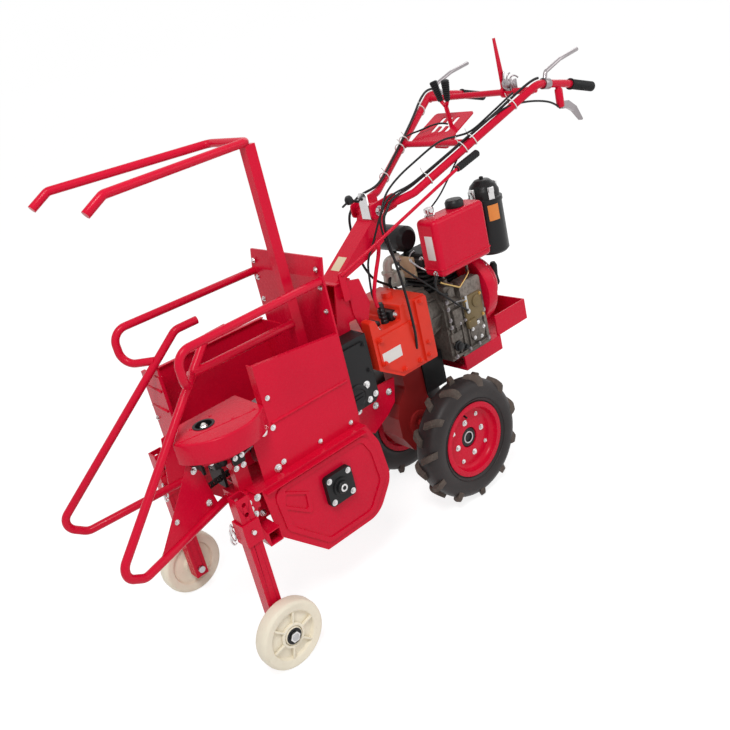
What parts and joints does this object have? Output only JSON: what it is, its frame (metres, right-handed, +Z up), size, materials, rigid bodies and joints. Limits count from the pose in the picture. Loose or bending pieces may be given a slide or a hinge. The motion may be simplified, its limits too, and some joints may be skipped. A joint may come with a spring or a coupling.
{
  "type": "power tiller",
  "caption": "Walk-behind power tiller with a diesel engine, a one-row maize picking head with stalk dividers, a chopper, a gathering wheel and a tilting handlebar.",
  "frame": {"origin": "on the ground under the middle of the bounding box", "axes": "+X forward to the picking head, +Y to the machine's left, +Z up"},
  "size_m": [1.915, 0.584, 1.343],
  "materials": {
    "red_paint": "gloss",
    "orange_paint": "gloss",
    "black_paint": "satin",
    "tyre_rubber": "matte",
    "nylon": "satin",
    "steel": "satin",
    "zinc": "gloss",
    "cast_alloy": "rough",
    "cast_iron": "rough",
    "grip_rubber": "matte",
    "black_plastic": "satin",
    "brown_paint": "satin"
  },
  "bodies": {
    "machine_frame": {"drive_axle": "steel", "head_frame": "red_paint", "leg_left": "red_paint", "leg_right": "red_paint", "wheel_pins": "steel", "leg_lock_pins": "zinc", "rear_plate": "red_paint", "deck": "red_paint", "side_panel_left": "red_paint", "divider_left": "red_paint", "divider_right": "red_paint", "divider_wing_left": "red_paint", "divider_wing_right": "red_paint", "guide_loop_left": "red_paint", "guide_loop_right": "red_paint", "lane_tube": "red_paint", "ear_bin": "red_paint", "gather_cover": "red_paint", "gather_arm": "red_paint", "roller_bearings": "cast_iron", "chopper_housing": "red_paint", "chopper_bearings": "black_paint", "pusher_post": "red_paint", "pusher_fork": "red_paint", "drive_case": "black_paint", "column": "red_paint", "gearbox": "orange_paint", "walking_case": "brown_paint", "engine_tray": "red_paint", "rear_tray": "red_paint", "crankcase": "cast_alloy", "fan_cover": "red_paint", "recoil_cover": "red_paint", "recoil_handle": "grip_rubber", "cylinder": "cast_iron", "tank": "red_paint", "tank_cap": "black_plastic", "air_cleaner": "black_plastic", "muffler": "black_paint", "selector_rod": "red_paint", "cables_frame": "black_plastic"},
    "drive_wheel_left": {"drive_tyre_left": "tyre_rubber", "drive_rim_left": "red_paint", "drive_hub_left": "black_paint"},
    "drive_wheel_right": {"drive_tyre_right": "tyre_rubber", "drive_rim_right": "red_paint", "drive_hub_right": "black_paint"},
    "support_wheel_left": {"front_wheel_left": "nylon"},
    "support_wheel_right": {"front_wheel_right": "nylon"},
    "chopper": {"chopper_rotor": "steel"},
    "picking_roller_left": {"roller_left": "steel"},
    "picking_roller_right": {"roller_right": "steel"},
    "gathering_wheel": {"gather_wheel": "steel"},
    "handlebar": {"handle_bracket": "red_paint", "handle_frame": "red_paint", "handle_grips": "grip_rubber", "hand_levers": "zinc", "control_levers": "red_paint", "gate_plate": "red_paint", "cables_handle": "black_plastic"}
  },
  "joints": [
    {"name": "drive_wheel_left_spin", "type": "hinge", "parent": "machine_frame", "child": "drive_wheel_left", "pos_m": [-0.18091, 0.162, 0.205], "axis": [0, 1, 0], "continuous": true},
    {"name": "drive_wheel_right_spin", "type": "hinge", "parent": "machine_frame", "child": "drive_wheel_right", "pos_m": [-0.18091, -0.162, 0.205], "axis": [0, 1, 0], "continuous": true},
    {"name": "support_wheel_left_spin", "type": "hinge", "parent": "machine_frame", "child": "support_wheel_left", "pos_m": [0.64309, 0.262, 0.094], "axis": [0, 1, 0], "continuous": true},
    {"name": "support_wheel_right_spin", "type": "hinge", "parent": "machine_frame", "child": "support_wheel_right", "pos_m": [0.64309, -0.262, 0.094], "axis": [0, 1, 0], "continuous": true},
    {"name": "chopper_spin", "type": "hinge", "parent": "machine_frame", "child": "chopper", "pos_m": [0.35009, 0, 0.352], "axis": [0, 1, 0], "continuous": true},
    {"name": "roller_left_spin", "type": "hinge", "parent": "machine_frame", "child": "picking_roller_left", "pos_m": [0.24509, 0.035, 0.585], "axis": [0.9711, 0, -0.2386], "continuous": true},
    {"name": "roller_right_spin", "type": "hinge", "parent": "machine_frame", "child": "picking_roller_right", "pos_m": [0.24509, -0.035, 0.585], "axis": [0.9711, 0, -0.2386], "continuous": true},
    {"name": "gathering_wheel_spin", "type": "hinge", "parent": "machine_frame", "child": "gathering_wheel", "pos_m": [0.62409, 0.11, 0.66], "axis": [0, 0, 1], "continuous": true},
    {"name": "handlebar_tilt", "type": "hinge", "parent": "machine_frame", "child": "handlebar", "pos_m": [-0.12591, 0, 0.966], "axis": [0, 1, 0], "range_deg": [0, 18]}
  ],
  "couplings": [
    {"joint": "roller_right_spin", "follows": "roller_left_spin", "ratio": -1}
  ]
}
